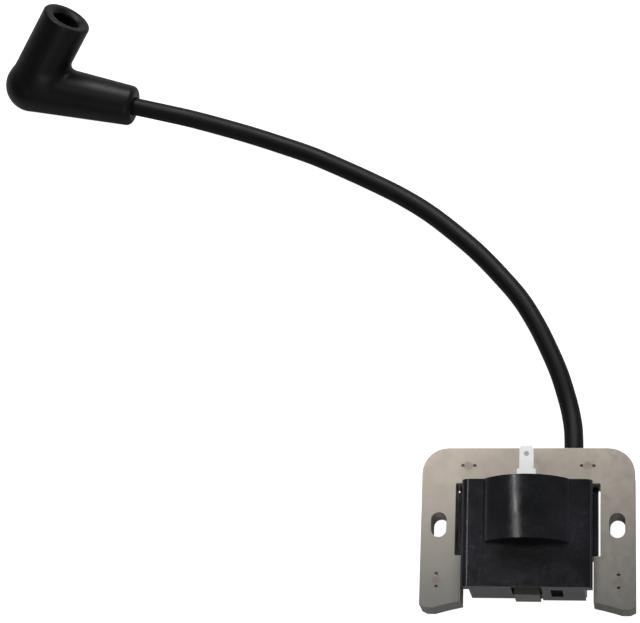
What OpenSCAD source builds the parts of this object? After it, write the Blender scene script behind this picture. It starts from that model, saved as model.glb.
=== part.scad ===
// Ignition coil of a small engine, with its high-tension lead and plug boot.
// The coil lies on the back of its case. +Z points out of the front of the core,
// +Y points from the pole faces to the yoke, and +X points to the lead's side.
// The origin is the middle of the coil's box at the surface that it lies on.

/* [Core] */
// Width of the core across both legs
core_w = 76.2; // [68:0.1:90]
// Height of the core from the yoke's top edge to the leg ends
core_h = 58.7; // [56:0.1:70]
// Thickness of one steel sheet
sheet_t = 0.8; // [0.65:0.05:1]
// Number of sheets in the stack
sheet_n = 14; // [12:1:18]
// Height of the yoke above the windows
yoke_h = 13.2; // [10:0.1:15]
// Distance between the inner edges of the legs
window_w = 46.8; // [44:0.1:52]
// Width of the centre pole
pole_w = 9; // [6:0.1:10]
// Distance from the yoke's top edge to the centre pole's face
pole_h = 53.8; // [53:0.1:55]
// Radius of the flywheel that the pole faces follow, with the air gap
flywheel_r = 115; // [90:1:150]
// Radius of the yoke's outer corners
corner_r = 9.5; // [3:0.1:12]
// Depth of the notch in each leg that holds the case's wing
notch_d = 2.4; // [1.5:0.1:3]
// Distance from the yoke's top edge to the end of the notch
notch_end = 39.7; // [36:0.1:42]
// Diameter of the pierced dots of the interlocks
dot_d = 1.2; // [0.8:0.1:1.6]

// Thickness of the insulating varnish between two sheets
varnish_t = 0.02; // [0.01:0.01:0.05]

/* [Mounting slots] */
// Distance between the two slots
slot_pitch = 63.5; // [60:0.1:68]
// Width of a slot
slot_w = 5.5; // [4.5:0.1:6.6]
// Length of a slot, end to end
slot_len = 9; // [7:0.1:12]
// Distance from the yoke's top edge to the middle of the slots
slot_down = 28.5; // [24:0.1:32]

/* [Case] */
// Gap between the case and the core, on each side that faces it
case_gap = 0.2; // [0.1:0.05:0.4]
// Height of the case's front above the front of the core
front_rise = 7; // [6:0.1:9]
// Depth of the case behind the back of the core
back_depth = 13; // [12.5:0.1:16]
// Height of the case along the legs
case_h = 39; // [38:0.1:39.4]
// Thickness of the case's walls
wall = 1.8; // [1.5:0.1:2]
// Gap between the body of the case and each leg, behind its front
side_gap = 3.1; // [2:0.1:3.5]
// Thickness of the front slab that spans the whole window
slab_t = 5; // [4:0.1:5.5]
// Radius of the case's front edges
edge_r = 2.7; // [1:0.1:3.2]
// Gap between each wing of the case and the notch
wing_gap = 0.9; // [0.5:0.1:1.2]
// Width of the round bulge in the front
bulge_w = 30.6; // [28:0.1:33]
// Height of the bulge above the front
bulge_rise = 7; // [6.5:0.1:9]
// Length of the bulge
bulge_len = 23; // [22:0.1:25]
// Step of the rear of the case away from the pole faces
rear_step = 3.2; // [2:0.1:4]

/* [Windings] */
// Thickness of the tunnel's wall around the centre pole
tunnel_wall = 1; // [0.8:0.1:1.2]
// Gap between the tunnel and the pole
pole_gap = 0.3; // [0.2:0.05:0.4]
// Outer radius of the primary bobbin's tube
primary_tube_r = 10.2; // [10.2:0.1:10.6]
// Thickness of the primary winding
primary_t = 1.9; // [1.2:0.1:2]
// Thickness of the secondary winding
secondary_t = 2.7; // [2:0.1:2.8]
// Thickness of the bobbins' flanges
flange_t = 1; // [0.7:0.1:1.2]
// Number of sections of the secondary winding
section_n = 5; // [3:1:6]
// Length of the bobbins
bobbin_len = 19; // [16:0.1:19.2]

/* [Kill terminal] */
// Width of the blade
blade_w = 5.2; // [4.8:0.1:6.3]
// Thickness of the blade
blade_t = 0.8; // [0.5:0.1:0.8]
// Width of the blade's shoulders
shoulder_w = 6.8; // [6.5:0.1:8]
// Distance from the yoke's top edge to the blade's tip
blade_tip = 1.9; // [0.5:0.1:3]
// Diameter of the blade's hole
blade_hole_d = 1.7; // [1:0.1:2]

/* [Lead] */
// Diameter of the high-tension lead
lead_d = 7; // [5:0.1:7]
// Gap between the lead and what it passes through
lead_gap = 0.15; // [0.1:0.05:0.3]
// Diameter of the case's collar around the lead
collar_d = 9.8; // [9.4:0.1:10]
// Length of the rubber sleeve where the lead leaves the collar
sleeve_len = 9; // [6:0.1:9.5]

/* [Boot] */
// Outer diameter of the boot's barrel
barrel_d = 19.7; // [17:0.1:20]
// Length of the barrel from the arm's axis to its mouth
barrel_len = 33.8; // [30:0.1:45]
// Diameter of the barrel's bore, which slips over the plug's insulator
boot_bore_d = 10.5; // [10.2:0.1:12]
// Length of that bore, up to the chamfer at the mouth
boot_bore_len = 18; // [12:0.5:18]
// Length of the arm from the barrel's axis to its end
arm_len = 43.6; // [38:0.1:46]
// Diameter of the arm at the barrel
arm_root_d = 21; // [15:0.1:21]
// Diameter of the arm at its end
arm_end_d = 15.8; // [12:0.1:16]
// Angle between the barrel and the arm
elbow_angle = 68; // [65:1:100]

/* [Hidden] */
$fn = 64;
eps = 0.01;

// Levels and distances that follow from the sizes above
core_t = sheet_t * sheet_n;
z_back = back_depth;
z_front = z_back + core_t;
z_mid = z_back + core_t / 2;
z_face = z_front + front_rise;
z_crown = z_face + bulge_rise;
leg_w = (core_w - window_w) / 2;
notch_x = window_w / 2 + notch_d;
case_top = yoke_h + case_gap;
case_low = case_top + case_h;
front_hw = window_w / 2 - case_gap;
body_hw = window_w / 2 - side_gap;
wing_hw = notch_x - wing_gap;
inner_hw = body_hw - wall;
z_wall_front = z_face - wall;
// The bulge is an arc through its crown and its two edges
bulge_r = (pow(bulge_w / 2, 2) + pow(bulge_rise, 2)) / (2 * bulge_rise);
bulge_z = z_crown - bulge_r;
// The tunnel that the centre pole passes through
hole_hw = pole_w / 2 + pole_gap;
hole_ht = core_t / 2 + pole_gap;
tunnel_hw = hole_hw + tunnel_wall;
tunnel_ht = hole_ht + tunnel_wall;
tunnel_fit = 0.1;
// The bobbins fill the height behind the bulge
bobbin_top = case_top + wall + 0.3;
secondary_bore_r = primary_tube_r + primary_t + 0.2;
secondary_tube_r = secondary_bore_r + 0.8;
secondary_r = secondary_tube_r + secondary_t;
flange_r = secondary_r + 0.3;
section_pitch = (bobbin_len - flange_t) / section_n;
// Trigger coil below the bobbins
trigger_top = bobbin_top + bobbin_len + 1.2;
trigger_len = 5;
trigger_flange_hw = tunnel_hw + 3;
trigger_flange_ht = min(tunnel_ht + 3, z_wall_front - z_mid - 0.2);
// Potting and board at the back of the case
potting_z = 0.5;
potting_t = min(1.2, z_mid - flange_r - potting_z - 0.2);
board_z = 3.4;
board_t = 1.4;
board_top = bobbin_top + bobbin_len + 0.2;
board_low = case_low - rear_step - wall - 0.4;
board_hw = inner_hw - 0.6;
part_z = board_z + board_t;
// Kill terminal, in the end wall of the bulge
blade_z = z_face + 2.5;
foot_down = case_top + wall;
// High-tension lead
lead_x = 15.6;
lead_z = 7;
lead_in_y = down(case_top) - wall - 0.15;
collar_len = 3.5;
sleeve_end_d = 8.8;
// Ground strap
strap_t = 0.7;
strap_w = 4;
strap_down = 30;
// Recesses in the lower side of the case, and its rim
pole_recess = 1.2;
pocket_x = 10.5;
pocket_hw = 2.1;
pocket_depth = 1.3;
rim_back = 4;
wing_top = 2.9;
wing_drop = 1;
// Parts on the board, from its edges
package_gap = 1.5;
film_inset = 0.8;

// Route of the lead, from the coil to the boot
lead_route = [
    [15.6, 14, 7], [15.6, 21, 7], [15.6, 28, 7], [15.6, 35, 6.3], [15.3, 42, 5.1],
    [14.4, 48, 4.2], [13, 54, 3.7], [10, 64, 3.6], [5.9, 74, 3.6], [1.1, 84, 3.6],
    [-4.9, 94, 3.6], [-12.6, 103.5, 3.6], [-21.3, 113, 3.6], [-30.8, 121.7, 3.6],
    [-41, 130, 3.6], [-52, 137.2, 3.6], [-63.6, 143.5, 3.6], [-75.6, 149.5, 3.6],
    [-87.6, 155.1, 3.6], [-100, 159.9, 3.6], [-112.5, 164.3, 3.9], [-124.5, 167.9, 4.7],
    [-136.6, 171.1, 5.9], [-148.2, 173.7, 7.0], [-159.6, 176.2, 7.9],
    [-173.2, 179.2, 8.8], [-184.9, 181.7, 9.5]];
lead_sides = 12;
// The boot's corner and the directions of its arm and barrel
boot_at = [-202.5, 185.5, 10.6];
arm_turn = -12.2;
arm_fall = 3.5;
boot_roll = -47;
barrel_r = barrel_d / 2;
lead_end = norm(lead_route[len(lead_route) - 1] - boot_at);
bore_end = barrel_len - 1.5;
chamber_d = 10;
clip_d = 8.4;
clip_bore_d = 6.4;
clip_z = 2;
clip_len = 11;
crimp_d = 5;
crimp_start = (clip_d / 2 + crimp_d / 2 * cos(elbow_angle)) / sin(elbow_angle) + 0.01;

// Y of a place that is d below the yoke's top edge
function down(d) = core_h / 2 - d;

// Points of an arc
function arc(c, r, a0, a1, n = 8) =
    [for (i = [0 : n]) c + r * [cos(a0 + (a1 - a0) * i / n), sin(a0 + (a1 - a0) * i / n)]];

// A box from its two corners
module span(a, b) {
    translate(a) cube(b - a);
}

// An outline in X and Z, drawn out from one distance below the yoke's top edge to another
module along_y(from, to) {
    translate([0, down(from), 0]) rotate([90, 0, 0]) linear_extrude(to - from) children();
}

// A cylinder along Y that starts at y and runs towards +Y
module rod_y(x, y, z, d, length) {
    translate([x, y, z]) rotate([-90, 0, 0]) cylinder(h = length, d = d);
}

module both_sides() {
    children();
    mirror([1, 0, 0]) children();
}

// ---- Laminated core ----

module slot_outline() {
    both_sides() translate([slot_pitch / 2, down(slot_down)]) {
        translate([0, (slot_len - slot_w) / 2]) circle(d = slot_w);
        translate([0, -(slot_len - slot_w) / 2]) circle(d = slot_w);
        square([slot_w, slot_len - slot_w], center = true);
    }
}

module window_outline() {
    both_sides() {
        translate([pole_w / 2, down(core_h + 5)])
            square([window_w / 2 - pole_w / 2, core_h + 5 - yoke_h]);
        translate([pole_w / 2, down(notch_end)])
            square([notch_x - pole_w / 2, notch_end - yoke_h]);
    }
}

module sheet_outline() {
    half_w = core_w / 2;
    corner_x = half_w - corner_r;
    difference() {
        polygon(concat(
            [[-half_w, down(core_h - 1)], [-half_w + 2, down(core_h)],
             [half_w - 2, down(core_h)], [half_w, down(core_h - 1)]],
            arc([corner_x, down(corner_r)], corner_r, 0, 90, 16),
            arc([-corner_x, down(corner_r)], corner_r, 90, 180, 16)));
        window_outline();
        slot_outline();
        translate([0, down(pole_h + flywheel_r)]) circle(r = flywheel_r, $fn = 180);
    }
}

module dot_outline() {
    both_sides() {
        for (x = [19.2, 23.4]) translate([x, down(yoke_h / 2 + 0.1)]) circle(d = dot_d);
        for (d = [46.4, 51]) translate([slot_pitch / 2 + 0.4, down(d)]) circle(d = dot_d);
    }
}

module sheet(i) {
    translate([0, 0, z_back + i * sheet_t]) linear_extrude(sheet_t - varnish_t) sheet_outline();
}

module front_lamination() {
    color([0.62, 0.6, 0.56]) translate([0, 0, z_front - sheet_t]) linear_extrude(sheet_t)
        difference() {
            sheet_outline();
            dot_outline();
        }
}

module core_laminations() {
    color([0.55, 0.54, 0.52]) for (i = [1 : sheet_n - 2]) sheet(i);
}

module rear_lamination() {
    color([0.6, 0.58, 0.55]) sheet(0);
}

// ---- Moulded case ----

module slab_profile() {
    polygon(concat(
        [[-front_hw, z_face - slab_t], [front_hw, z_face - slab_t]],
        arc([front_hw - edge_r, z_face - edge_r], edge_r, 0, 90),
        arc([-front_hw + edge_r, z_face - edge_r], edge_r, 90, 180)));
}

module bulge_profile(r) {
    intersection() {
        translate([0, bulge_z]) circle(r = r, $fn = 120);
        translate([-bulge_w, z_face - wall - 2]) square([2 * bulge_w, bulge_rise + wall + 3]);
    }
}

module case_outside() {
    along_y(case_top, case_low) slab_profile();
    along_y(case_top, case_top + bulge_len) bulge_profile(bulge_r);
    // Body between the legs: its rear is set back from the pole faces
    span([-body_hw, down(case_low), z_back - 1.2], [body_hw, down(case_top), z_face - slab_t + eps]);
    span([-body_hw, down(case_low - rear_step), 0], [body_hw, down(case_top), z_back]);
    // The rim is deeper on the lead's side
    span([pole_w / 2 + 0.5, down(case_low), z_back - rim_back], [body_hw, down(case_top), z_back]);
    // Wings that sit in the notches of the legs
    both_sides()
        span([body_hw - eps, down(notch_end - case_gap), z_back + 1.5],
             [wing_hw, down(case_top + wing_top), z_front - 1.6]);
    // Each wing steps down towards the yoke
    both_sides()
        span([body_hw - eps, down(case_top + wing_top) - eps, z_back + 1.5],
             [wing_hw, down(case_top), z_mid - wing_drop]);
    rod_y(lead_x, down(case_top) - eps, lead_z, collar_d, collar_len + eps);
}

module case_inside() {
    // Room for the windings and the electronics, open at the back
    span([-inner_hw, down(case_low - rear_step - wall), -1],
         [inner_hw, down(case_top + wall), z_wall_front]);
    span([-inner_hw, down(case_low - wall), z_back + wall],
         [inner_hw, down(case_top + wall), z_wall_front]);
    along_y(case_top + wall, case_top + bulge_len - wall) bulge_profile(bulge_r - wall);
}

module coil_case() {
    color([0.1, 0.1, 0.11]) difference() {
        union() {
            difference() {
                case_outside();
                case_inside();
            }
            span([-tunnel_hw, down(case_low), z_mid - tunnel_ht],
                 [tunnel_hw, down(case_top), z_mid + tunnel_ht]);
        }
        // The centre pole passes right through
        span([-hole_hw, down(case_low + 1), z_mid - hole_ht],
             [hole_hw, down(case_top - 1), z_mid + hole_ht]);
        // Recess round the pole and the square pocket beside it
        span([-hole_hw - 0.5, down(case_low + 1), z_mid], [hole_hw + 0.5, down(case_low - pole_recess), z_face - 1]);
        span([pocket_x - pocket_hw, down(case_low + 1), z_back + 2.2],
             [pocket_x + pocket_hw, down(case_low - pocket_depth), z_front + 1.6]);
        // Holes for the lead, the kill terminal and the ground strap
        rod_y(lead_x, lead_in_y - 1, lead_z, lead_d + 2 * lead_gap, wall + collar_len + 3);
        span([-shoulder_w / 2, down(foot_down + eps), blade_z - blade_t / 2],
             [shoulder_w / 2, down(case_top - 1), blade_z + blade_t / 2]);
        span([-body_hw - 1, down(strap_down + strap_w / 2), z_back - strap_t],
             [-inner_hw + 1, down(strap_down - strap_w / 2), z_back]);
    }
}

module potting() {
    color([0.08, 0.08, 0.08])
        span([-inner_hw, down(case_low - rear_step - wall), potting_z],
             [inner_hw, down(case_top + wall), potting_z + potting_t]);
}

// ---- Windings ----

// A round flange or ring about the pole's axis, from one distance below the yoke's top to another
module ring(from, to, r_out, r_in) {
    translate([0, down(to), z_mid]) rotate([-90, 0, 0]) difference() {
        cylinder(h = to - from, r = r_out);
        translate([0, 0, -1]) cylinder(h = to - from + 2, r = r_in);
    }
}

module primary_bobbin() {
    color([0.85, 0.83, 0.76]) difference() {
        union() {
            ring(bobbin_top, bobbin_top + bobbin_len, primary_tube_r, 1);
            ring(bobbin_top, bobbin_top + flange_t, primary_tube_r + primary_t, 1);
            ring(bobbin_top + bobbin_len - flange_t, bobbin_top + bobbin_len,
                 primary_tube_r + primary_t, 1);
        }
        span([-tunnel_hw - tunnel_fit, down(case_low), z_mid - tunnel_ht - tunnel_fit],
             [tunnel_hw + tunnel_fit, down(case_top), z_mid + tunnel_ht + tunnel_fit]);
    }
}

module primary_winding() {
    color([0.72, 0.36, 0.16])
        ring(bobbin_top + flange_t, bobbin_top + bobbin_len - flange_t,
             primary_tube_r + primary_t, primary_tube_r);
}

module secondary_bobbin() {
    color([0.9, 0.88, 0.8]) {
        ring(bobbin_top, bobbin_top + bobbin_len, secondary_tube_r, secondary_bore_r);
        for (i = [0 : section_n])
            ring(bobbin_top + i * section_pitch, bobbin_top + i * section_pitch + flange_t,
                 flange_r, secondary_tube_r - eps);
    }
}

module secondary_winding() {
    color([0.62, 0.3, 0.12]) for (i = [0 : section_n - 1])
        ring(bobbin_top + i * section_pitch + flange_t, bobbin_top + (i + 1) * section_pitch,
             secondary_r, secondary_tube_r);
}

// A square ring about the tunnel
module square_ring(from, to, hw_out, ht_out, grow) {
    difference() {
        span([-hw_out, down(to), z_mid - ht_out], [hw_out, down(from), z_mid + ht_out]);
        span([-tunnel_hw - grow, down(to + 1), z_mid - tunnel_ht - grow],
             [tunnel_hw + grow, down(from - 1), z_mid + tunnel_ht + grow]);
    }
}

module trigger_bobbin() {
    color([0.86, 0.84, 0.76]) {
        square_ring(trigger_top, trigger_top + trigger_len, tunnel_hw + 0.9, tunnel_ht + 0.9, tunnel_fit);
        for (from = [trigger_top, trigger_top + trigger_len - 0.8])
            square_ring(from, from + 0.8, trigger_flange_hw, trigger_flange_ht, 0.9 - eps);
    }
}

module trigger_winding() {
    color([0.74, 0.38, 0.17])
        square_ring(trigger_top + 0.8, trigger_top + trigger_len - 0.8,
                    trigger_flange_hw - 0.5, trigger_flange_ht - 0.4, 0.9);
}

// ---- Electronics ----

module circuit_board() {
    color([0.12, 0.32, 0.2])
        span([-board_hw, down(board_low), board_z], [board_hw, down(board_top), board_z + board_t]);
}

module power_transistor() {
    color([0.15, 0.15, 0.15])
        span([-8, down(board_top + 7.6), part_z], [-1.5, down(board_top + package_gap), part_z + 2.3]);
    color([0.7, 0.7, 0.68])
        span([-7.3, down(board_top + 8.8), part_z], [-2.2, down(board_top + 7.6), part_z + 0.6]);
}

module driver_transistor() {
    color([0.15, 0.15, 0.15])
        span([1, down(board_top + 3.6), part_z], [4, down(board_top + 2.2), part_z + 1.1]);
}

module board_resistors() {
    color([0.75, 0.65, 0.45]) for (i = [0 : 2]) translate([1.2, down(board_top + 5.4 + i * 1.6), part_z + 0.6])
        rotate([0, 90, 0]) cylinder(h = 4.6, d = 1.2);
}

module board_diode() {
    color([0.2, 0.2, 0.2]) translate([-16, down(board_top + 2.6), part_z + 1.3])
        rotate([0, 90, 0]) cylinder(h = 5.2, d = 2.6);
}

module board_capacitor() {
    color([0.65, 0.2, 0.1])
        span([10.2, down(board_low - film_inset), part_z],
             [board_hw - 0.4, down(board_top + film_inset), part_z + 7.5]);
}

// ---- Terminals ----

module kill_terminal() {
    color([0.9, 0.9, 0.88]) difference() {
        union() {
            span([-blade_w / 2, down(foot_down), blade_z - blade_t / 2],
                 [blade_w / 2, down(blade_tip), blade_z + blade_t / 2]);
            span([-shoulder_w / 2, down(foot_down), blade_z - blade_t / 2],
                 [shoulder_w / 2, down(case_top - 3), blade_z + blade_t / 2]);
        }
        translate([0, down(blade_tip + 3.1), blade_z - 1]) cylinder(h = 2, d = blade_hole_d);
    }
}

module ground_strap() {
    color([0.75, 0.55, 0.25])
        span([-notch_x - 3, down(strap_down + strap_w / 2), z_back - strap_t],
             [-inner_hw + 0.6, down(strap_down - strap_w / 2), z_back]);
}

module lead_socket() {
    color([0.78, 0.62, 0.3]) {
        rod_y(lead_x, lead_in_y - 3, lead_z, 4.4, 3);
        span([lead_x - 0.4, lead_in_y - 4.5, lead_z], [lead_x + 0.4, lead_in_y - 2.5, lead_z + 2]);
    }
}

module lead_sleeve() {
    y0 = down(case_top) + collar_len;
    color([0.06, 0.06, 0.06]) translate([lead_x, y0, lead_z]) rotate([-90, 0, 0]) difference() {
        cylinder(h = sleeve_len, d1 = collar_d, d2 = sleeve_end_d);
        translate([0, 0, -1]) cylinder(h = sleeve_len + 2, d = lead_d + 2 * lead_gap);
    }
}

// ---- Lead ----

// Direction of the route at point i
function heading(p, i) =
    let (d = p[min(i + 1, len(p) - 1)] - p[max(i - 1, 0)]) d / norm(d);

// The ring of tube corners round point i
function tube_ring(p, i, r, n) =
    let (t = heading(p, i), s = cross(t, [0, 0, 1]) / norm(cross(t, [0, 0, 1])), u = cross(s, t))
    [for (k = [0 : n - 1]) p[i] + r * (cos(360 * k / n) * s + sin(360 * k / n) * u)];

module tube(p, r, n) {
    rings = len(p);
    polyhedron(
        points = [for (i = [0 : rings - 1]) each tube_ring(p, i, r, n)],
        faces = concat(
            [[for (k = [0 : n - 1]) n - 1 - k]],
            [[for (k = [0 : n - 1]) (rings - 1) * n + k]],
            [for (i = [0 : rings - 2]) for (k = [0 : n - 1])
                [i * n + k, i * n + (k + 1) % n, (i + 1) * n + (k + 1) % n, (i + 1) * n + k]]));
}

module ht_lead() {
    color([0.05, 0.05, 0.05]) tube(lead_route, lead_d / 2, lead_sides);
}

// ---- Plug boot: its corner is the origin, its arm lies along +X ----

module place_boot() {
    translate(boot_at) rotate([0, 0, arm_turn]) rotate([0, arm_fall, 0]) rotate([boot_roll, 0, 0])
        children();
}

module along_barrel() {
    rotate([0, 90 - elbow_angle, 0]) children();
}

module along_arm() {
    rotate([0, 90, 0]) children();
}

module plug_boot() {
    end_r = arm_end_d / 2;
    round_r = 2.5;
    color([0.04, 0.04, 0.04]) place_boot() difference() {
        union() {
            along_barrel() {
                sphere(r = barrel_r);
                cylinder(h = barrel_len, r = barrel_r);
            }
            sphere(r = arm_root_d / 2);
            along_arm() rotate_extrude() polygon(concat(
                [[0, 0], [arm_root_d / 2, 0]],
                arc([end_r - round_r, arm_len - round_r], round_r, 0, 90, 6),
                [[0, arm_len]]));
        }
        along_barrel() {
            translate([0, 0, -2]) cylinder(h = barrel_len, d = chamber_d);
            translate([0, 0, bore_end - boot_bore_len]) cylinder(h = boot_bore_len + 1, d = boot_bore_d);
            translate([0, 0, bore_end]) cylinder(h = 3, d1 = boot_bore_d, d2 = boot_bore_d + 6);
        }
        along_arm() cylinder(h = arm_len + 1, d = lead_d + 2 * lead_gap);
    }
}

module plug_clip() {
    color([0.75, 0.75, 0.72]) place_boot() along_barrel() translate([0, 0, clip_z]) difference() {
        cylinder(h = clip_len, d = clip_d);
        translate([0, 0, 1]) cylinder(h = clip_len, d = clip_bore_d);
        for (a = [0, 90]) rotate([0, 0, a]) translate([-clip_d, -0.5, 4]) cube([2 * clip_d, 1, clip_len]);
    }
}

module clip_spring() {
    color([0.6, 0.6, 0.6]) place_boot() along_barrel() translate([0, 0, clip_z + clip_len - 3])
        rotate_extrude() translate([clip_d / 2 + 0.4, 0]) circle(d = 0.8, $fn = 24);
}

module lead_crimp() {
    color([0.8, 0.66, 0.35]) place_boot() along_arm() translate([0, 0, crimp_start])
        cylinder(h = lead_end - crimp_start - 0.05, d = crimp_d);
}

front_lamination();
core_laminations();
rear_lamination();
coil_case();
potting();
primary_bobbin();
primary_winding();
secondary_bobbin();
secondary_winding();
trigger_bobbin();
trigger_winding();
circuit_board();
power_transistor();
driver_transistor();
board_resistors();
board_diode();
board_capacitor();
kill_terminal();
ground_strap();
lead_socket();
lead_sleeve();
ht_lead();
plug_boot();
plug_clip();
clip_spring();
lead_crimp();
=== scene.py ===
"""An ignition coil for a small engine, lying on its case, with its lead and plug boot."""

import math

import bmesh
import bpy
import numpy as np
from mathutils import Matrix, Vector


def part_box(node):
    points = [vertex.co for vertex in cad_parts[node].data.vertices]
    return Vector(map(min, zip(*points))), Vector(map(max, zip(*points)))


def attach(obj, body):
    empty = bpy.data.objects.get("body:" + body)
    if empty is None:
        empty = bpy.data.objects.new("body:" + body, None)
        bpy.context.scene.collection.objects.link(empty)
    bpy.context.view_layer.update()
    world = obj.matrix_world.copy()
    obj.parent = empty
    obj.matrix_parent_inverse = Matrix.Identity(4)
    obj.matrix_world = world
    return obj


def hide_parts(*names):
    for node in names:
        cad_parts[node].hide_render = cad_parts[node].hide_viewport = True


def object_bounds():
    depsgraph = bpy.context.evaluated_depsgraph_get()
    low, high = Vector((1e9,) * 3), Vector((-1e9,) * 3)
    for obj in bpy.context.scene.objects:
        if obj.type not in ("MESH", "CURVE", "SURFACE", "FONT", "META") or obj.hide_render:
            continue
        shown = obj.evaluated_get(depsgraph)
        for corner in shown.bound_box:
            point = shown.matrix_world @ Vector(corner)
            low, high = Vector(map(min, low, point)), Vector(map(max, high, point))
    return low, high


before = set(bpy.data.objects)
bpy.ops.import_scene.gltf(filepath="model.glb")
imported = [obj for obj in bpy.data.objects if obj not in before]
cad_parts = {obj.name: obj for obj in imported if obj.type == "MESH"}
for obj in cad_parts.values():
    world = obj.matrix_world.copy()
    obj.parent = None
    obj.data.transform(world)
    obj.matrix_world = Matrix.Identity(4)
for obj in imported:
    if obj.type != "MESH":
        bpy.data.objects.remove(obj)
cad_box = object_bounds()


# ---- Camera ----
# A long lens well above the coil and a little in front of it, so that the core's front
# and the lower side of the case both show.

camera = bpy.data.objects.new("camera", bpy.data.cameras.new("camera"))
bpy.context.collection.objects.link(camera)
bpy.context.scene.camera = camera
camera.data.sensor_width = 36
camera.data.lens = 123.75
camera.data.clip_start = 0.05
camera.data.clip_end = 20
camera.location = (0.0486, -0.19146, 0.78983)
camera.rotation_euler = [math.radians(a) for a in (19.822, 8.544, 2.466)]


# ---- High-tension lead ----
# A stranded core in thick black rubber, extruded smooth and 7 mm over all. It comes straight
# out of the coil's collar, drops to the bench and curves over to the boot.

mm = 0.001
lead_route = [(x * mm, y * mm, z * mm) for x, y, z in [
    (15.6, 14, 7), (15.6, 21, 7), (15.6, 28, 7), (15.6, 35, 6.3), (15.3, 42, 5.1),
    (14.4, 48, 4.2), (13, 54, 3.7), (10, 64, 3.6), (5.9, 74, 3.6), (1.1, 84, 3.6),
    (-4.9, 94, 3.6), (-12.6, 103.5, 3.6), (-21.3, 113, 3.6), (-30.8, 121.7, 3.6),
    (-41, 130, 3.6), (-52, 137.2, 3.6), (-63.6, 143.5, 3.6), (-75.6, 149.5, 3.6),
    (-87.6, 155.1, 3.6), (-100, 159.9, 3.6), (-112.5, 164.3, 3.9), (-124.5, 167.9, 4.7),
    (-136.6, 171.1, 5.9), (-148.2, 173.7, 7.0), (-159.6, 176.2, 7.9),
    (-173.2, 179.2, 8.8), (-184.9, 181.7, 9.5)]]
lead_d = 7 * mm
ring_spacing = 1.5 * mm


def add(tree, kind, inputs=None, **settings):
    """Adds a node; inputs gives a socket a value, or the socket that feeds it."""
    made = tree.nodes.new(kind)
    for key, value in settings.items():
        setattr(made, key, value)
    for key, value in (inputs or {}).items():
        if isinstance(value, bpy.types.NodeSocket):
            tree.links.new(value, made.inputs[key])
        else:
            made.inputs[key].default_value = value
    return made


def new_tree(name, kind, takes, gives):
    """A node group with named sockets; takes maps a name to its type and first value."""
    tree = bpy.data.node_groups.new(name, kind)
    for socket, (socket_type, value) in takes.items():
        made = tree.interface.new_socket(socket, in_out="INPUT", socket_type=socket_type)
        if value is not None:
            made.default_value = value
    for socket, socket_type in gives.items():
        tree.interface.new_socket(socket, in_out="OUTPUT", socket_type=socket_type)
    return tree, add(tree, "NodeGroupInput").outputs, add(tree, "NodeGroupOutput").inputs


def new_piece(name, mesh):
    """An object for a mesh, at the origin."""
    piece = bpy.data.objects.new(name, mesh)
    bpy.context.collection.objects.link(piece)
    return piece


def grown(name, mesh, tree, values):
    """Runs a geometry tree on a mesh with its inputs set, and gives the result as a plain mesh."""
    piece = new_piece(name, mesh)
    modifier = piece.modifiers.new("grow", "NODES")
    modifier.node_group = tree
    for item in tree.interface.items_tree:
        if item.in_out == "INPUT" and item.name in values:
            modifier[item.identifier] = values[item.name]
    evaluated = piece.evaluated_get(bpy.context.evaluated_depsgraph_get())
    result = bpy.data.meshes.new_from_object(evaluated)
    piece.modifiers.remove(modifier)
    piece.data = result
    return piece


def new_surface(name, colour, constants):
    """A material with one shader, whose constants are set on its own sockets."""
    material = bpy.data.materials.new(name)
    material.use_nodes = True
    shader = material.node_tree.nodes["Principled BSDF"]
    shader.inputs["Base Color"].default_value = (*colour, 1)
    for socket, value in constants.items():
        shader.inputs[socket].default_value = value
    return material, material.node_tree, shader.inputs


def mixed(tree, factor, a, b, blend="MIX"):
    """Mixes two colours, given as sockets or as red, green and blue."""
    ends = [x if isinstance(x, bpy.types.NodeSocket) else (*x, 1) for x in (a, b)]
    return add(tree, "ShaderNodeMix", {0: factor, 6: ends[0], 7: ends[1]},
               data_type="RGBA", blend_type=blend).outputs[2]


def scaled(tree, value, low, high, to_low=0.0, to_high=1.0):
    """Maps low..high to to_low..to_high, held at its ends."""
    ends = {0: value, 1: low, 2: high, 3: to_low, 4: to_high}
    return add(tree, "ShaderNodeMapRange", ends).outputs[0]


def combined(tree, a, b, operation="ADD"):
    """Adds two values, or joins them by another operation."""
    return add(tree, "ShaderNodeMath", {0: a, 1: b}, operation=operation).outputs[0]


def bumped(tree, sockets, height, distance, strength=1.0):
    """Feeds the shader's normal from a height."""
    bump = add(tree, "ShaderNodeBump", {"Height": height, "Distance": distance, "Strength": strength})
    tree.links.new(bump.outputs[0], sockets["Normal"])


# Fine grain and broad mottling over an object's own coordinates, each from 0 to 1
grain, given, out = new_tree(
    "grain", "ShaderNodeTree",
    {"Grain per metre": ("NodeSocketFloat", 3000), "Mottle per metre": ("NodeSocketFloat", 120)},
    {"Grain": "NodeSocketFloat", "Mottle": "NodeSocketFloat"})
place = add(grain, "ShaderNodeTexCoord").outputs["Object"]
for socket, detail in (("Grain", 3), ("Mottle", 5)):
    noise = add(grain, "ShaderNodeTexNoise", {"Vector": place, "Detail": detail, "Roughness": 0.58,
                                              "Scale": given[socket + " per metre"]})
    grain.links.new(noise.outputs["Fac"], out[socket])


def grained(tree, grain_size, mottle_size):
    """Places the grain group in a material and gives its outputs, Grain and Mottle."""
    sizes = {"Grain per metre": grain_size, "Mottle per metre": mottle_size}
    return add(tree, "ShaderNodeGroup", sizes, node_tree=grain).outputs


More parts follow.
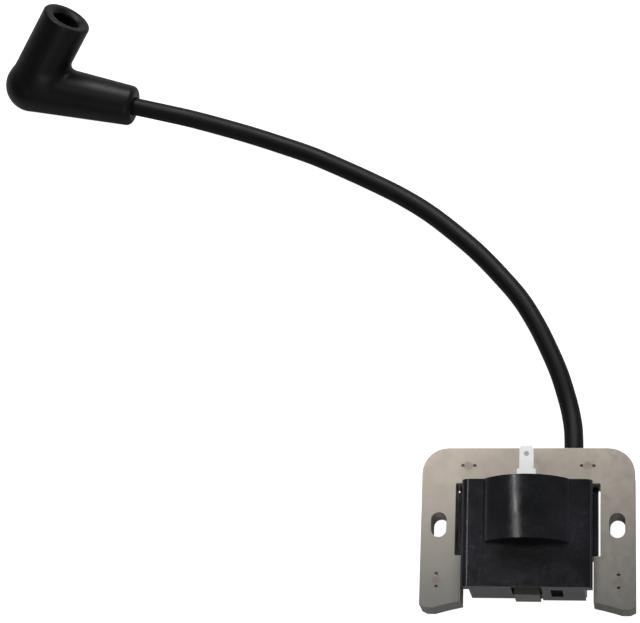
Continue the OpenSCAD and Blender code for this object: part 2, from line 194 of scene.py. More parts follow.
# Dust that has settled on what faces up: specks, and a thin film in patches
dust, given, out = new_tree(
    "dust", "ShaderNodeTree",
    {"Specks per metre": ("NodeSocketFloat", 1200), "Amount": ("NodeSocketFloat", 0.5)},
    {"Mask": "NodeSocketFloat"})
place = add(dust, "ShaderNodeTexCoord").outputs["Object"]
specks = add(dust, "ShaderNodeTexNoise", {"Vector": place, "Detail": 5, "Roughness": 0.72,
                                          "Scale": given["Specks per metre"]})
film = add(dust, "ShaderNodeTexNoise", {"Vector": place, "Detail": 3, "Scale": 55})
lying = add(dust, "ShaderNodeSeparateXYZ", {0: add(dust, "ShaderNodeNewGeometry").outputs["Normal"]})
settled = combined(dust, scaled(dust, specks.outputs["Fac"], 0.6, 0.75),
                   scaled(dust, film.outputs["Fac"], 0.42, 0.75, 0, 0.3))
settled = combined(dust, settled, scaled(dust, lying.outputs["Z"], 0.1, 0.9), "MULTIPLY")
dust.links.new(combined(dust, settled, given["Amount"], "MULTIPLY"), out["Mask"])

dust_grey = (0.16, 0.155, 0.15)


def dusted(tree, amount, colour):
    """Lays an amount of dust over a colour."""
    mask = add(tree, "ShaderNodeGroup", {"Amount": amount}, node_tree=dust).outputs["Mask"]
    return mixed(tree, mask, colour, dust_grey)


def rubber(name, colour, roughness, grain_size, dustiness):
    """Black rubber: a soft skin with fine grain, patches that shine more, and a little dust."""
    material, tree, sockets = new_surface(name, colour, {"IOR": 1.5, "Specular IOR Level": 0.17})
    skin = grained(tree, grain_size, 85)
    shade = mixed(tree, skin["Mottle"], colour, [c * 1.8 for c in colour])
    tree.links.new(dusted(tree, dustiness, shade), sockets["Base Color"])
    shine = scaled(tree, skin["Mottle"], 0.3, 0.7, roughness - 0.07, roughness + 0.07)
    tree.links.new(shine, sockets["Roughness"])
    return material, tree, sockets, skin


lead_rubber, tree, sockets, skin = rubber("lead_rubber", (0.002, 0.002, 0.0023), 0.46, 2400, 0.02)
# Fine lines that the die left along the lead
around = add(tree, "ShaderNodeAttribute", attribute_name="skin").outputs["Vector"]
along = add(tree, "ShaderNodeAttribute", attribute_name="along").outputs["Fac"]
across = add(tree, "ShaderNodeVectorMath", {0: around, 1: (9, 9, 0)}, operation="MULTIPLY").outputs[0]
down_it = add(tree, "ShaderNodeCombineXYZ", {"Z": combined(tree, along, 14.0, "MULTIPLY")}).outputs[0]
drawn = add(tree, "ShaderNodeVectorMath", {0: across, 1: down_it}, operation="ADD").outputs[0]
lines = add(tree, "ShaderNodeTexNoise", {"Vector": drawn, "Scale": 1.6, "Detail": 4, "Roughness": 0.6})
height = combined(tree, lines.outputs["Fac"], combined(tree, skin["Grain"], 0.35, "MULTIPLY"))
bumped(tree, sockets, height, 0.12 * mm, 0.5)

# The lead is a round tube along its route, with its place round and along it kept for the rubber
lead_tree, given, out = new_tree(
    "lead", "GeometryNodeTree",
    {"Route": ("NodeSocketGeometry", None), "Radius": ("NodeSocketFloat", lead_d / 2),
     "Ring spacing": ("NodeSocketFloat", ring_spacing), "Sides": ("NodeSocketInt", 40),
     "Rubber": ("NodeSocketMaterial", None)},
    {"Lead": "NodeSocketGeometry"})
line = add(lead_tree, "GeometryNodeMeshToCurve", {"Mesh": given["Route"]})
line = add(lead_tree, "GeometryNodeCurveSplineType", {"Curve": line.outputs[0]}, spline_type="CATMULL_ROM")
line = add(lead_tree, "GeometryNodeSetSplineResolution", {"Geometry": line.outputs[0], "Resolution": 12})
line = add(lead_tree, "GeometryNodeResampleCurve",
           {"Curve": line.outputs[0], "Length": given["Ring spacing"]}, mode="LENGTH")
line = add(lead_tree, "GeometryNodeStoreNamedAttribute",
           {"Geometry": line.outputs[0], "Name": "along",
            "Value": add(lead_tree, "GeometryNodeSplineParameter").outputs["Length"]})
ring = add(lead_tree, "GeometryNodeCurvePrimitiveCircle",
           {"Resolution": given["Sides"], "Radius": given["Radius"]})
unit = add(lead_tree, "ShaderNodeVectorMath",
           {0: add(lead_tree, "GeometryNodeInputPosition").outputs[0], 1: (2 / lead_d,) * 3},
           operation="MULTIPLY")
ring = add(lead_tree, "GeometryNodeStoreNamedAttribute",
           {"Geometry": ring.outputs[0], "Name": "skin", "Value": unit.outputs[0]}, data_type="FLOAT_VECTOR")
tube = add(lead_tree, "GeometryNodeCurveToMesh",
           {"Curve": line.outputs[0], "Profile Curve": ring.outputs[0], "Fill Caps": True})
tube = add(lead_tree, "GeometryNodeSetMaterial",
           {"Geometry": tube.outputs[0], "Material": given["Rubber"]})
lead_tree.links.new(tube.outputs[0], out["Lead"])

route_mesh = bpy.data.meshes.new("lead")
route_mesh.from_pydata(lead_route, [(i, i + 1) for i in range(len(lead_route) - 1)], [])
lead = grown("lead", route_mesh, lead_tree, {"Rubber": lead_rubber})
lead.data.shade_smooth()
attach(lead, "root")
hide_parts("ht_lead")


# ---- Plug boot ----
# One rubber moulding: a barrel that slips over the spark plug and an arm that grips the lead.
# The two run into each other in a fillet, and the barrel's mouth has a thick rounded rim.

# Sizes are in millimetres, in the boot's own frame: the arm lies along X from the elbow's
# centre, the barrel leans away from it in the XZ plane, and both start at that centre
boot_at = Vector((-202.5, 185.5, 10.6))
boot_turns = (("Z", -12.2), ("Y", 3.5), ("X", -47))
barrel_r, barrel_len = 9.85, 33.8
arm_root_r, arm_end_r, arm_len = 10.5, 7.9, 43.6
elbow = math.radians(68)
mouth_edge, arm_edge, fillet, crook_depth = 1.1, 2.2, 3.6, 9
chamber_r, bore_r, arm_bore_r = 5, 5.25, 3.65
chamber_start, bore_start, bore_end, mouth_flare = -2, 14.3, 32.3, 3
rib_places, rib_depth, rib_width = (19, 25), 0.45, 0.8
bore_lip, lead_hole_lip = 0.7, 0.5
voxel = 0.42

boot_place = Matrix.Translation(boot_at)
for axis, turn in boot_turns:
    boot_place = boot_place @ Matrix.Rotation(math.radians(turn), 4, axis)
barrel_axis = np.array([math.cos(elbow), 0, math.sin(elbow)])
crook_axis = np.array([math.cos(elbow / 2), 0, math.sin(elbow / 2)])


def blend_min(a, b, reach):
    """The lower of two distances, blended into a fillet within reach."""
    share = np.clip(0.5 + 0.5 * (b - a) / reach, 0, 1)
    return b + (a - b) * share - reach * share * (1 - share)


def capped(along, across, radius, length, edge):
    """Distance to a round bar with a ball at its start and a rounded edge at its end."""
    side, end = across - (radius - edge), along - (length - edge)
    bar = np.hypot(np.maximum(side, 0), np.maximum(end, 0)) + np.minimum(np.maximum(side, end), 0) - edge
    return np.where(along < 0, np.hypot(along, across) - radius, bar)


def boot_distance(p):
    """Distance from points in the boot's own frame to its skin, in millimetres."""
    up = p @ barrel_axis
    off = np.linalg.norm(p - up[:, None] * barrel_axis, axis=1)
    out_along, out_off = p[:, 0], np.hypot(p[:, 1], p[:, 2])
    arm_r = arm_root_r + (arm_end_r - arm_root_r) * np.clip(out_along / arm_len, 0, 1)
    in_crook = np.clip((p @ crook_axis) / crook_depth, 0.3, 1)
    body = blend_min(capped(up, off, barrel_r, barrel_len, mouth_edge),
                     capped(out_along, out_off, arm_r, arm_len, arm_edge), fillet * in_crook)
    hole_r = np.where(up < bore_start, chamber_r, bore_r) + np.clip(up - bore_end, 0, mouth_flare)
    for rib in rib_places:
        hole_r = hole_r - rib_depth * np.exp(-((up - rib) / rib_width) ** 2)
    bore = np.maximum(off - hole_r, chamber_start - up)
    lead_hole = np.maximum(out_off - arm_bore_r, -out_along)
    return -blend_min(blend_min(-body, bore, bore_lip), lead_hole, lead_hole_lip)


def pressed_to(points, distance, rounds=5):
    """Moves points onto the surface where the distance is nought."""
    step = 0.02
    for _ in range(rounds):
        slope = np.stack([(distance(points + step * e) - distance(points - step * e)) / (2 * step)
                          for e in np.eye(3)], axis=1)
        size = np.maximum((slope ** 2).sum(axis=1), 0.05)
        move = -(distance(points) / size)[:, None] * slope
        points = points + np.clip(move, -voxel, voxel)
    return points


def cad_copy(node, name):
    """A merged copy of a CAD node's mesh, as a new piece."""
    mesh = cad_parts[node].data.copy()
    mesh.materials.clear()
    shape = bmesh.new()
    shape.from_mesh(mesh)
    bmesh.ops.remove_doubles(shape, verts=shape.verts, dist=0.002 * mm)
    shape.to_mesh(mesh)
    shape.free()
    for key in list(mesh.keys()):
        del mesh[key]
    return new_piece(name, mesh)


boot = cad_copy("plug_boot", "boot")
remesh = boot.modifiers.new("skin", "REMESH")
remesh.mode = "VOXEL"
remesh.voxel_size = voxel * mm
evaluated = boot.evaluated_get(bpy.context.evaluated_depsgraph_get())
boot_mesh = bpy.data.meshes.new_from_object(evaluated)
boot.modifiers.remove(remesh)
boot.data = boot_mesh
points = np.empty(len(boot_mesh.vertices) * 3)
boot_mesh.vertices.foreach_get("co", points)
to_boot = np.array(boot_place.inverted())
local = points.reshape(-1, 3) / mm @ to_boot[:3, :3].T + to_boot[:3, 3]
local = pressed_to(local, boot_distance)
from_boot = np.array(boot_place)
points = np.clip((local @ from_boot[:3, :3].T + from_boot[:3, 3]) * mm, *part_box("plug_boot"))
boot_mesh.vertices.foreach_set("co", points.ravel())
boot_mesh.update()
boot_mesh.shade_smooth()

boot_rubber, tree, sockets, skin = rubber("boot_rubber", (0.003, 0.003, 0.0034), 0.42, 1900, 0.03)
bumped(tree, sockets, combined(tree, skin["Mottle"], skin["Grain"]), 0.1 * mm, 0.35)
boot_mesh.materials.append(boot_rubber)
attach(boot, "root")
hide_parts("plug_boot")


# ---- Plug terminal ----
# A sprung clip of bright steel snaps over the plug's nut, held by a ring of wire. A brass
# crimp joins it to the lead. All of it is inside the boot.

def metal(name, colour, roughness, mottle, scratch):
    """Bare or plated metal, with mottled shine and a fine scratched grain."""
    material, tree, sockets = new_surface(name, colour, {"Metallic": 1.0})
    skin = grained(tree, 2200, 160)
    dull = [c * (1 - mottle) for c in colour]
    shade = mixed(tree, scaled(tree, skin["Mottle"], 0.3, 0.7), dull, colour)
    tree.links.new(shade, sockets["Base Color"])
    shine = scaled(tree, skin["Mottle"], 0.3, 0.7, roughness + 0.1, roughness)
    tree.links.new(shine, sockets["Roughness"])
    bumped(tree, sockets, skin["Grain"], scratch * mm, 0.5)
    return material, tree, sockets


def finish_node(node, material):
    """Gives a CAD node its own material."""
    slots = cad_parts[node].data.materials
    slots.clear()
    slots.append(material)


spring_steel = metal("spring_steel", (0.62, 0.61, 0.58), 0.28, 0.25, 0.02)[0]
brass = metal("brass", (0.62, 0.45, 0.2), 0.3, 0.3, 0.02)[0]
for node, material in (("plug_clip", spring_steel), ("clip_spring", spring_steel), ("lead_crimp", brass)):
    finish_node(node, material)


# ---- Laminated core ----
# Fourteen E-shaped sheets of silicon steel, stamped and stacked under a thin varnish. The
# press leaves a rolled edge on each sheet, and pierced dots and swages lock the stack.

front_low, front_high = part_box("front_lamination")
core_x, core_top, core_low = front_high.x, front_high.y, front_low.y
sheet_t = front_high.z - front_low.z
sheet_gap = 0.02 * mm
stagger = 0.03 * mm
rolled = 0.11 * mm

# Depths are measured down from the top of the yoke
yoke_depth, notch_depth, slot_depth, pole_depth = 13.2 * mm, 39.7 * mm, 28.5 * mm, 53.8 * mm
pole_x, leg_x, notch_x = 4.5 * mm, 23.4 * mm, 25.8 * mm
tip_x, tip_cut, tip_rise = 33.2 * mm, 2 * mm, 1 * mm
inner_corner, pole_corner, tip_corner, outer_corner = 0.4 * mm, 0.15 * mm, 0.3 * mm, 9.5 * mm
flywheel_r = 115 * mm
flywheel_y = core_top - pole_depth - flywheel_r
yoke_y, notch_y = core_top - yoke_depth, core_top - notch_depth
slot_x, slot_y = 31.75 * mm, core_top - slot_depth
slot_half = Vector((2.75, 4.5)) * mm

# Each swage's place, and the way from it to its two dots: across on the yoke, down on the legs
swages = [(x, core_top - 6.7 * mm, 2.1 * mm, 0.0) for x in (-21.3 * mm, 21.3 * mm)]
swages += [(x, core_top - 48.7 * mm, 0.0, 2.3 * mm) for x in (-32.15 * mm, 32.15 * mm)]
dot_r, swage_r, swage_lip, swage_sunk = 0.6 * mm, 1.6 * mm, 0.09 * mm, 0.05 * mm


def rounded(corners, steps=8):
    """The closed outline through (x, y, radius) corners, each corner rounded to its radius."""
    outline = []
    for i, (x, y, radius) in enumerate(corners):
        here = Vector((x, y))
        if radius == 0:
            outline.append(here)
            continue
        back = (Vector(corners[i - 1][:2]) - here).normalized()
        on = (Vector(corners[(i + 1) % len(corners)][:2]) - here).normalized()
        half = back.angle(on) / 2
        centre = here + (back + on).normalized() * (radius / math.sin(half))
        start, end = (here + way * (radius / math.tan(half)) - centre for way in (back, on))
        outline += [centre + radius * start.slerp(end, k / steps) for k in range(steps + 1)]
    return outline


def circle(x, y, radius, sides=20):
    """The closed outline of a round hole."""
    turns = [2 * math.pi * k / sides for k in range(sides)]
    return [Vector((x + radius * math.cos(turn), y - radius * math.sin(turn))) for turn in turns]


def stamped(name, outline, holes, low_z, thickness, edge):
    """A flat blank with holes in it and its edges rolled over."""
    flat = bpy.data.curves.new(name, "CURVE")
    flat.dimensions = "2D"
    flat.fill_mode = "BOTH"
    flat.extrude = thickness / 2 - edge
    flat.bevel_depth = edge
    flat.bevel_resolution = 1
    flat.offset = -edge
    for loop in (outline, *holes):
        spline = flat.splines.new("POLY")
        spline.points.add(len(loop) - 1)
        spline.use_cyclic_u = True
        for point, at in zip(spline.points, loop):
            point.co = (at.x, at.y, 0, 1)
    drawn = bpy.data.objects.new(name, flat)
    bpy.context.collection.objects.link(drawn)
    evaluated = drawn.evaluated_get(bpy.context.evaluated_depsgraph_get())
    mesh = bpy.data.meshes.new_from_object(evaluated)
    bpy.data.objects.remove(drawn)
    mesh.transform(Matrix.Translation((0, 0, low_z + thickness / 2)))
    shape = bmesh.new()
    shape.from_mesh(mesh)
    bmesh.ops.remove_doubles(shape, verts=shape.verts, dist=0.001 * mm)
    bmesh.ops.recalc_face_normals(shape, faces=shape.faces)
    # The rolled edge never stands out past the outline's own box
    for axis in (0, 1):
        low, high = (end(at[axis] for at in outline) for end in (min, max))
        for vert in shape.verts:
            vert.co[axis] = min(max(vert.co[axis], low), high)
    shape.to_mesh(mesh)
    shape.free()
    mesh.materials.clear()
    mesh.shade_smooth()
    # Only the edges are round; the two broad faces are flat
    for face in mesh.polygons:
        face.use_smooth = abs(face.normal.z) < 0.99
    return mesh


def core_side(way):
    """One side of the sheet, from its pole out to its top corner; way is -1 or 1."""
    def on_flywheel(x):
        return flywheel_y + math.sqrt(flywheel_r ** 2 - x ** 2)
    leg_arc = [leg_x + k * (tip_x - leg_x) / 5 for k in range(1, 6)]
    return [(way * x, y, r) for x, y, r in [
        (pole_x, on_flywheel(pole_x), pole_corner), (pole_x, yoke_y, inner_corner),
        (notch_x, yoke_y, inner_corner), (notch_x, notch_y, inner_corner),
        (leg_x, notch_y, inner_corner), (leg_x, on_flywheel(leg_x), pole_corner),
        *[(x, on_flywheel(x), 0) for x in leg_arc], (core_x - tip_cut, core_low, tip_corner),
        (core_x, core_low + tip_rise, tip_corner), (core_x, core_top, outer_corner)]]


sheet_outline = rounded(core_side(1) + core_side(-1)[::-1])
slots = [rounded([(x + sx * slot_half.x, slot_y + sy * slot_half.y, slot_half.x * 0.999)
                  for sx, sy in ((-1, -1), (-1, 1), (1, 1), (1, -1))]) for x in (-slot_x, slot_x)]
dots = [circle(x + way * dx, y + way * dy, dot_r) for x, y, dx, dy in swages for way in (-1, 1)]

# Steel: bare and satin, with a thin brownish varnish in patches. Painted light makes it warmer and brighter
# at the yoke and darker towards the legs' ends, and painted shade darkens it towards the right
core_steel, tree, sockets = new_surface("core_steel", (0.42, 0.4, 0.37), {"Metallic": 0.7})
skin = grained(tree, 2600, 95)
broad = grained(tree, 520, 28)
spot = add(tree, "ShaderNodeTexCoord").outputs["Object"]
place = add(tree, "ShaderNodeSeparateXYZ", {0: spot}).outputs
# Painted light: the colour runs from dark at the legs' ends to bright and warm at the yoke
tint = mixed(tree, scaled(tree, place["Y"], core_low, core_top), (0.17, 0.178, 0.168),
             (0.64, 0.56, 0.475))
# Painted shade: the colour darkens towards the right side
tint = mixed(tree, scaled(tree, place["X"], -core_x, core_x, 0, 0.36), tint, (0.0, 0.005, 0.005))
steel_patches_and_painted_light = mixed(tree, scaled(tree, broad["Mottle"], 0.35, 0.7, 0, 0.4), tint, (0.3, 0.27, 0.235))
steel_patches_and_painted_light = mixed(tree, scaled(tree, skin["Mottle"], 0.25, 0.75, 0, 0.3), steel_patches_and_painted_light, (0.2, 0.18, 0.16))
# A brown stain where the press swaged the sheets together
near = 1.0
for x, y, _, _ in swages:
    gap = add(tree, "ShaderNodeVectorMath", {0: spot, 1: (x, y, front_high.z)}, operation="DISTANCE")
    near = combined(tree, gap.outputs["Value"], near, "MINIMUM")
stain = combined(tree, scaled(tree, near, 0.9 * mm, 2.4 * mm), skin["Mottle"], "SUBTRACT")
steel_patches_and_painted_light = mixed(tree, scaled(tree, stain, -0.6, 0.1, 0.5, 0), steel_patches_and_painted_light, (0.2, 0.13, 0.1))
tree.links.new(steel_patches_and_painted_light, sockets["Base Color"])
tree.links.new(scaled(tree, broad["Grain"], 0.3, 0.7, 0.38, 0.52), sockets["Roughness"])
bumped(tree, sockets, combined(tree, skin["Grain"], skin["Mottle"]), 0.05 * mm, 0.4)

front_mesh = stamped("front_sheet", sheet_outline, slots + dots, front_low.z, sheet_t, rolled)
front_sheet = new_piece("front_sheet", front_mesh)
rear_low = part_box("rear_lamination")[0]
rear_mesh = stamped("rear_sheet", sheet_outline, slots, rear_low.z, sheet_t - sheet_gap, rolled)
rear_sheet = new_piece("rear_sheet", rear_mesh)

stack_tree, given, out = new_tree(
    "stack", "GeometryNodeTree",
    {"Sheet": ("NodeSocketGeometry", None), "Sheets": ("NodeSocketInt", 12),
     "Pitch": ("NodeSocketFloat", sheet_t), "Stagger": ("NodeSocketFloat", stagger),
     "Steel": ("NodeSocketMaterial", None)},
    {"Stack": "NodeSocketGeometry"})
rise = add(stack_tree, "ShaderNodeCombineXYZ", {"Z": given["Pitch"]})
places = add(stack_tree, "GeometryNodeMeshLine", {"Count": given["Sheets"], "Offset": rise.outputs[0]})
swing = add(stack_tree, "FunctionNodeRandomValue", {0: (-1, -1, 0), 1: (1, 1, 0), "Seed": 5},
            data_type="FLOAT_VECTOR")
shift = add(stack_tree, "ShaderNodeVectorMath", {0: swing.outputs[0], "Scale": given["Stagger"]},
            operation="SCALE")
places = add(stack_tree, "GeometryNodeSetPosition",
             {"Geometry": places.outputs[0], "Offset": shift.outputs[0]})
stack = add(stack_tree, "GeometryNodeInstanceOnPoints",
            {"Points": places.outputs[0], "Instance": given["Sheet"]})
stack = add(stack_tree, "GeometryNodeRealizeInstances", {0: stack.outputs[0]})
stack = add(stack_tree, "GeometryNodeSetMaterial",
            {"Geometry": stack.outputs[0], "Material": given["Steel"]})
stack_tree.links.new(stack.outputs[0], out["Stack"])

inner_low, inner_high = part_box("core_laminations")
sheets = round((inner_high.z - inner_low.z) / sheet_t)
one_sheet = stamped("inner_sheet", sheet_outline, slots, inner_low.z, sheet_t - sheet_gap, rolled)
# A little smaller, so that no staggered sheet stands out past the front one
one_sheet.transform(Matrix.Diagonal((0.9988, 0.9988, 1, 1)))
inner_sheets = grown("inner_sheets", one_sheet, stack_tree,
                     {"Sheets": sheets, "Pitch": sheet_t, "Steel": core_steel})

# Swages: a ring pressed into the front sheet between each pair of dots
swage_tree, given, out = new_tree(
    "swages", "GeometryNodeTree",
    {"Places": ("NodeSocketGeometry", None), "Radius": ("NodeSocketFloat", swage_r),
     "Lip": ("NodeSocketFloat", swage_lip), "Steel": ("NodeSocketMaterial", None)},
    {"Swages": "NodeSocketGeometry"})
ring = add(swage_tree, "GeometryNodeCurvePrimitiveCircle", {"Resolution": 40, "Radius": given["Radius"]})
lip = add(swage_tree, "GeometryNodeCurvePrimitiveCircle", {"Resolution": 8, "Radius": given["Lip"]})
ring = add(swage_tree, "GeometryNodeCurveToMesh",
           {"Curve": ring.outputs[0], "Profile Curve": lip.outputs[0]})
ring = add(swage_tree, "GeometryNodeInstanceOnPoints",
           {"Points": given["Places"], "Instance": ring.outputs[0]})
ring = add(swage_tree, "GeometryNodeRealizeInstances", {0: ring.outputs[0]})
ring = add(swage_tree, "GeometryNodeSetMaterial",
           {"Geometry": ring.outputs[0], "Material": given["Steel"]})
swage_tree.links.new(ring.outputs[0], out["Swages"])
swage_places = bpy.data.meshes.new("swages")
swage_places.from_pydata([(x, y, front_high.z - swage_sunk) for x, y, _, _ in swages], [], [])
swage_rings = grown("swage_rings", swage_places, swage_tree, {"Steel": core_steel})
swage_rings.data.shade_smooth()

for piece, node in ((front_sheet, "front_lamination"), (rear_sheet, "rear_lamination"),
                    (inner_sheets, "core_laminations"), (swage_rings, None)):
    if not piece.data.materials:
        piece.data.materials.append(core_steel)
    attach(piece, "root")
    if node:
        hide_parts(node)


# ---- Case ----
# One moulding of black glass-filled plastic, its gloss and shade a little cloudy. It holds the
# windings, wraps the centre pole, and its round front follows the coils. The core grips it.

case_edge = 0.28 * mm
gate_at = (0.3 * mm, core_top - 32.4 * mm, 38.2 * mm)
gate_r, gate_rim = 1.0 * mm, 1.35 * mm


def softened(name, node, edge):
    """A CAD node's shape with its flat faces made whole and its sharp edges rounded off."""
    piece = cad_copy(node, name)
    shape = bmesh.new()
    shape.from_mesh(piece.data)
    bmesh.ops.dissolve_limit(shape, angle_limit=math.radians(0.3), verts=shape.verts,
                             edges=shape.edges)
    shape.to_mesh(piece.data)
    shape.free()
    piece.data.shade_smooth()
    bevel = piece.modifiers.new("edges", "BEVEL")
    bevel.width = edge
    bevel.segments = 3
    bevel.limit_method = "ANGLE"
    bevel.angle_limit = math.radians(35)
    bevel.miter_outer = "MITER_ARC"
    weigh = piece.modifiers.new("weigh", "WEIGHTED_NORMAL")
    weigh.keep_sharp = True
    evaluated = piece.evaluated_get(bpy.context.evaluated_depsgraph_get())
    mesh = bpy.data.meshes.new_from_object(evaluated)
    piece.modifiers.clear()
    piece.data = mesh
    return piece


case = softened("case", "coil_case", case_edge)

case_plastic, tree, sockets = new_surface("case_plastic", (0.006, 0.006, 0.0075), {"IOR": 1.52})
skin = grained(tree, 3600, 130)
broad = grained(tree, 700, 40)
tint = mixed(tree, scaled(tree, broad["Mottle"], 0.38, 0.62), (0.003, 0.0035, 0.0045),
             (0.0125, 0.0105, 0.0155))
tree.links.new(dusted(tree, 0.12, tint), sockets["Base Color"])
haze = combined(tree, skin["Mottle"], broad["Grain"], "MULTIPLY")
tree.links.new(scaled(tree, haze, 0.16, 0.36, 0.11, 0.24), sockets["Roughness"])
# The gate's mark: a shallow ring at the crown, near the bulge's lower end
place = add(tree, "ShaderNodeTexCoord").outputs["Object"]
gate = add(tree, "ShaderNodeVectorMath", {0: place, 1: gate_at}, operation="DISTANCE")
gate = scaled(tree, gate.outputs["Value"], gate_r, gate_rim)
height = combined(tree, combined(tree, skin["Grain"], 0.15, "MULTIPLY"), gate)
bumped(tree, sockets, height, 0.05 * mm, 0.5)
case.data.materials.append(case_plastic)
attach(case, "root")
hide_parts("coil_case")


# ---- Potting ----
# Black epoxy poured in at the open back. It covers the windings and the board, and
# climbs a little where it wets the case's walls.

potting_low, potting_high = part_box("potting")
meniscus, wetted = 0.3 * mm, 0.9 * mm
shape = bmesh.new()
bmesh.ops.create_grid(shape, x_segments=60, y_segments=52, size=0.5)
poured = bmesh.ops.extrude_face_region(shape, geom=shape.faces[:])["geom"]
top_verts = {v for v in poured if isinstance(v, bmesh.types.BMVert)}
size = potting_high - potting_low
for v in shape.verts:
    x, y = (v.co.x + 0.5) * size.x, (v.co.y + 0.5) * size.y
    wall_gap = min(x, y, size.x - x, size.y - y)
    sunk = meniscus * (1 - math.exp(-wall_gap / wetted))
    v.co = potting_low + Vector((x, y, size.z if v in top_verts else sunk))
bmesh.ops.recalc_face_normals(shape, faces=shape.faces)
potting_mesh = bpy.data.meshes.new("potting")
shape.to_mesh(potting_mesh)
shape.free()
potting_mesh.shade_smooth()
potting_mesh.set_sharp_from_angle(angle=math.radians(40))
potting = new_piece("poured_epoxy", potting_mesh)
potting_epoxy, tree, sockets = new_surface("potting_epoxy", (0.009, 0.009, 0.01), {"IOR": 1.55})
skin = grained(tree, 700, 60)
tree.links.new(dusted(tree, 0.1, (0.009, 0.009, 0.01)), sockets["Base Color"])
tree.links.new(scaled(tree, skin["Mottle"], 0.3, 0.7, 0.07, 0.16), sockets["Roughness"])
bumped(tree, sockets, skin["Mottle"], 0.25 * mm, 0.3)
potting_mesh.materials.append(potting_epoxy)
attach(potting, "root")
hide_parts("potting")


# ---- Terminals ----
# The kill terminal is a blade of bright tinned brass with a chamfered tip and a small hole.
# The ground strap is plain brass and runs from the potting to under the core.

blade_low, blade_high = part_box("kill_terminal")
blade_half, shoulder_y = 2.6 * mm, core_top - 10.4 * mm
chamfer_in, chamfer_down = 0.7 * mm, 1.1 * mm
blade_hole_r, blade_hole_y = 0.85 * mm, blade_high.y - 3.1 * mm
right_side = [(blade_high.x, blade_low.y, 0.2 * mm), (blade_high.x, shoulder_y, 0.25 * mm),
              (blade_half, shoulder_y, 0.15 * mm), (blade_half, blade_high.y - chamfer_down, 0.3 * mm),
              (blade_half - chamfer_in, blade_high.y, 0.25 * mm)]
blade_outline = rounded(right_side + [(-x, y, r) for x, y, r in right_side[::-1]])
blade_hole = circle(0, blade_hole_y, blade_hole_r)
blade_mesh = stamped("blade", blade_outline, [blade_hole], blade_low.z, blade_high.z - blade_low.z,
                     0.13 * mm)
blade = new_piece("blade", blade_mesh)
tinned, tree, sockets = metal("tinned_blade", (0.8, 0.8, 0.78), 0.42, 0.12, 0.02)
sockets["Metallic"].default_value = 0.55

strap_low, strap_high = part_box("ground_strap")
strap_outline = rounded([(strap_high.x, strap_low.y, 0.2 * mm), (strap_high.x, strap_high.y, 0.2 * mm),
                         (strap_low.x, strap_high.y, 0.6 * mm), (strap_low.x, strap_low.y, 0.6 * mm)])
strap_mesh = stamped("strap", strap_outline, [], strap_low.z, strap_high.z - strap_low.z, 0.1 * mm)
strap = new_piece("strap", strap_mesh)
for piece, node, material, slot in ((blade, "kill_terminal", tinned, "tinned_blade"),
                                    (strap, "ground_strap", brass, "brass_part")):
    piece.data.materials.append(material)
    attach(piece, "root")
    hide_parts(node)
finish_node("lead_socket", brass)


# ---- Lead sleeve ----
# A short tapered sleeve of moulded rubber where the lead leaves the collar, its ends rounded.

sleeve_low, sleeve_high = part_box("lead_sleeve")
sleeve_axis = (sleeve_low + sleeve_high) / 2
bore, root_r = lead_d / 2 + 0.15 * mm, (sleeve_high.x - sleeve_low.x) / 2
tip_r = root_r - 0.5 * mm
turned_profile = rounded([(bore, sleeve_low.y, 0.15 * mm), (root_r, sleeve_low.y, 0.4 * mm),
                          (tip_r, sleeve_high.y, 0.4 * mm), (bore, sleeve_high.y, 0.15 * mm)], steps=5)
shape = bmesh.new()
ring = [shape.verts.new((sleeve_axis.x + at.x, at.y, sleeve_axis.z)) for at in turned_profile]
edges = [shape.edges.new((ring[i - 1], ring[i])) for i in range(len(ring))]
bmesh.ops.spin(shape, geom=ring + edges, cent=(sleeve_axis.x, 0, sleeve_axis.z), axis=(0, 1, 0),
               angle=2 * math.pi, steps=64)
bmesh.ops.remove_doubles(shape, verts=shape.verts, dist=0.001 * mm)
bmesh.ops.recalc_face_normals(shape, faces=shape.faces)
sleeve_mesh = bpy.data.meshes.new("sleeve")
shape.to_mesh(sleeve_mesh)
shape.free()
sleeve_mesh.shade_smooth()
sleeve = new_piece("sleeve", sleeve_mesh)
sleeve_mesh.materials.append(boot_rubber)
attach(sleeve, "root")
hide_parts("lead_sleeve")


# ---- Windings and electronics ----
# Everything here is inside the case and under the potting: enamelled copper on nylon
# bobbins, and the ignition's few parts on a laminate board.

def moulded(name, colour, roughness, spots, spot_colour):
    """Plain moulded or coated stuff, with faint spots of another shade."""
    material, tree, sockets = new_surface(name, colour, {})
    skin = grained(tree, 2500, spots)
    tree.links.new(mixed(tree, scaled(tree, skin["Mottle"], 0.35, 0.7), colour, spot_colour),
                   sockets["Base Color"])
    tree.links.new(scaled(tree, skin["Grain"], 0.3, 0.7, roughness - 0.06, roughness + 0.06),
                   sockets["Roughness"])
    bumped(tree, sockets, skin["Grain"], 0.04 * mm, 0.3)
    return material


nylon = moulded("bobbin_nylon", (0.66, 0.62, 0.5), 0.45, 90, (0.6, 0.55, 0.42))
laminate = moulded("board_laminate", (0.03, 0.13, 0.05), 0.3, 160, (0.025, 0.1, 0.04))
black_epoxy = moulded("component_black", (0.015, 0.015, 0.016), 0.4, 220, (0.03, 0.03, 0.03))
lacquer = moulded("component_tan", (0.42, 0.3, 0.14), 0.35, 200, (0.36, 0.24, 0.1))
dipped = moulded("component_film", (0.33, 0.03, 0.015), 0.25, 140, (0.26, 0.02, 0.01))

# Enamelled wire: turns lie side by side along the pole's axis
copper, tree, sockets = metal("enamelled_copper", (0.55, 0.2, 0.07), 0.32, 0.25, 0.02)
sockets["Coat Weight"].default_value = 0.6
place = add(tree, "ShaderNodeTexCoord").outputs["Object"]
turns = add(tree, "ShaderNodeTexWave", {"Vector": place, "Scale": 1250, "Distortion": 0.6, "Detail": 1},
            bands_direction="Y")
bumped(tree, sockets, turns.outputs["Fac"], 0.08 * mm, 0.8)

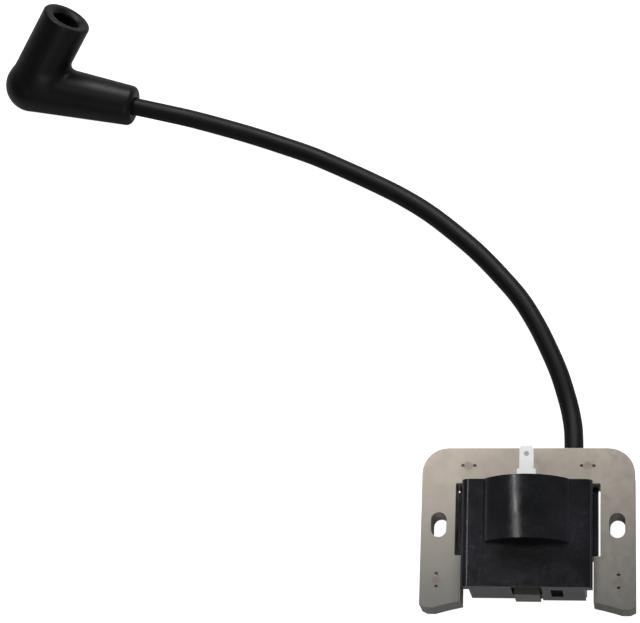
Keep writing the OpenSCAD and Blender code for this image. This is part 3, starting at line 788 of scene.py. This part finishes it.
for material, nodes in (
        (nylon, ("primary_bobbin", "secondary_bobbin", "trigger_bobbin")),
        (copper, ("primary_winding", "secondary_winding", "trigger_winding")),
        (laminate, ("circuit_board",)), (lacquer, ("board_resistors",)), (dipped, ("board_capacitor",)),
        (black_epoxy, ("power_transistor", "driver_transistor", "board_diode"))):
    for node in nodes:
        finish_node(node, material)


# ---- Bench and light ----
# A white light table that shines only where it is looked at straight on, two soft boxes, a
# narrow strip light and a dim room, so that the black parts mirror little but the lights.

bench_mesh = bpy.data.meshes.new("bench")
bench_reach = 4.0
bench_mesh.from_pydata([(x * bench_reach, y * bench_reach, cad_box[0].z)
                        for x, y in ((-1, -1), (1, -1), (1, 1), (-1, 1))], [], [(0, 1, 2, 3)])
bench = new_piece("bench", bench_mesh)
bench_white, tree, sockets = new_surface("bench_white", (0.42, 0.42, 0.42), {"Roughness": 0.9})
sockets["Emission Color"].default_value = (1, 1, 0.99, 1)
# It throws far less light on what stands on it than it shows
straight = add(tree, "ShaderNodeLightPath").outputs["Is Camera Ray"]
tree.links.new(scaled(tree, straight, 0, 1, 0.1, 0.95), sockets["Emission Strength"])
bench_mesh.materials.append(bench_white)

bpy.context.scene.view_settings.view_transform = "Standard"
room = bpy.data.worlds.new("room")
room.use_nodes = True
room.node_tree.nodes["Background"].inputs["Color"].default_value = (0.92, 0.94, 1, 1)
room.node_tree.nodes["Background"].inputs["Strength"].default_value = 0.14
bpy.context.scene.world = room

# Name, place, what it faces, width and height in metres, and power in watts
for name, at, facing, width, height, power in (
        ("front_box", (0.1, -1.2, 0.9), (0, 0, 0), 1.0, 0.6, 6),
        ("back_box", (0.1, 1.15, 1.0), (0, 0, 0), 1.2, 0.6, 24),
        ("strip", (-0.275, 0.18, 0.72), (0, 0, 0.03), 0.02, 0.4, 0.4)):
    light = bpy.data.lights.new(name, "AREA")
    light.shape = "RECTANGLE"
    light.size, light.size_y = width, height
    light.energy = power
    box = bpy.data.objects.new(name, light)
    bpy.context.collection.objects.link(box)
    box.location = at
    box.rotation_euler = (Vector(at) - Vector(facing)).to_track_quat("Z", "Y").to_euler()


# ---- Final update ----

bpy.context.view_layer.update()
